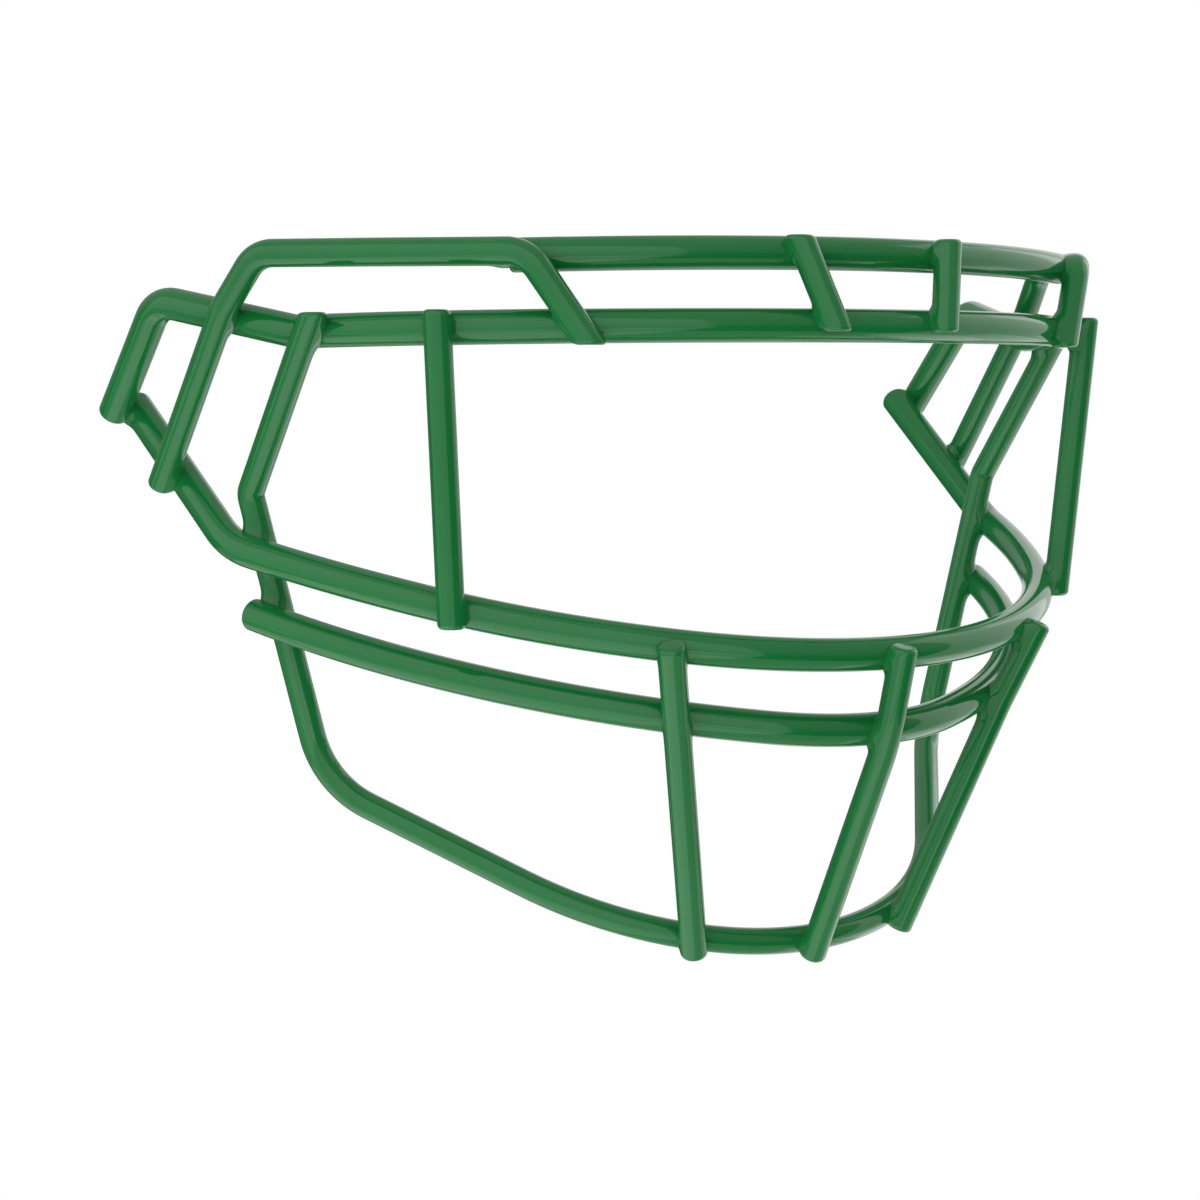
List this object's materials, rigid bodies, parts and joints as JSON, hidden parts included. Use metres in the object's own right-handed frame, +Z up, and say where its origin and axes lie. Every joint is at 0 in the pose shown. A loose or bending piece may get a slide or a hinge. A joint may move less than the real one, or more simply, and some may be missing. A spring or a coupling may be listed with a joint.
{
  "type": "football helmet facemask",
  "caption": "Open cage of bent and welded round wires, dip coated, that guards the face at the front of a football helmet and leaves a wide eye port.",
  "frame": {"origin": "in the middle plane, inside the face opening: 68.2 mm behind the front of the upper main bar's centre line and 63 mm below it", "axes": "+X towards the wearer's left, -Y the way the wearer faces, +Z up"},
  "size_m": [0.2364, 0.1431, 0.1561],
  "materials": {
    "heavy_wire_coat": "gloss green dip coat over steel wire",
    "light_wire_coat": "gloss green dip coat over steel wire"
  },
  "bodies": {
    "root": {"upper_main_bar": "heavy_wire_coat", "lower_main_bar": "heavy_wire_coat", "mid_bar": "heavy_wire_coat", "top_bar": "heavy_wire_coat", "chin_wire": "light_wire_coat", "centre_chin_vertical": "light_wire_coat", "left_side_hoop": "light_wire_coat", "right_side_hoop": "light_wire_coat", "left_eye_vertical": "light_wire_coat", "right_eye_vertical": "light_wire_coat", "left_brow_strut": "light_wire_coat", "right_brow_strut": "light_wire_coat", "left_chin_vertical": "light_wire_coat", "right_chin_vertical": "light_wire_coat"}
  },
  "joints": []
}
